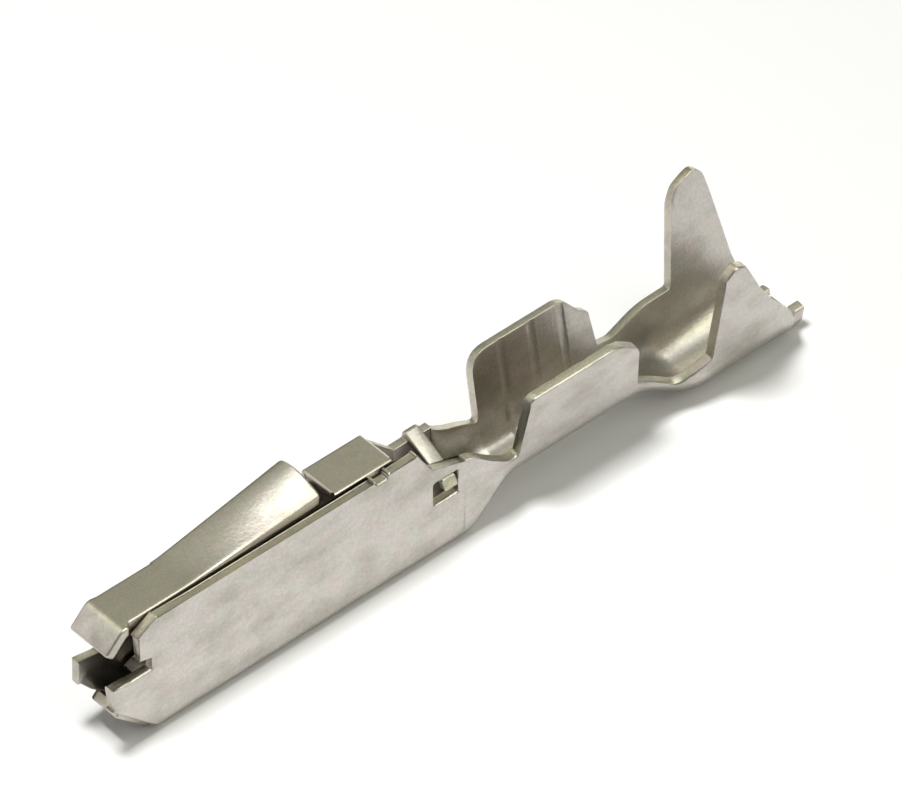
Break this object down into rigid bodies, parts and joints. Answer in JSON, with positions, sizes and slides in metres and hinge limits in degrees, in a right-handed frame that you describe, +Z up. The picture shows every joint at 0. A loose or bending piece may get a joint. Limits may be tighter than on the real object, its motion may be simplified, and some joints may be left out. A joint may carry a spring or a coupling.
{
  "type": "female crimp terminal",
  "caption": "Female crimp terminal folded from thin tinned sheet: a box socket with a raised locking lance, and open crimp wings for a wire and its insulation.",
  "frame": {"origin": "middle of the flat bottom of the box, which is the face the terminal lies on", "axes": "+X along the terminal from its mating end to its wire end, +Z up from the bottom of the box to the side the crimp wings open to"},
  "size_m": [0.0154, 0.0023, 0.0035],
  "materials": {
    "terminal": "satin tin plating over copper alloy"
  },
  "bodies": {
    "root": {"terminal": "terminal"}
  },
  "joints": []
}
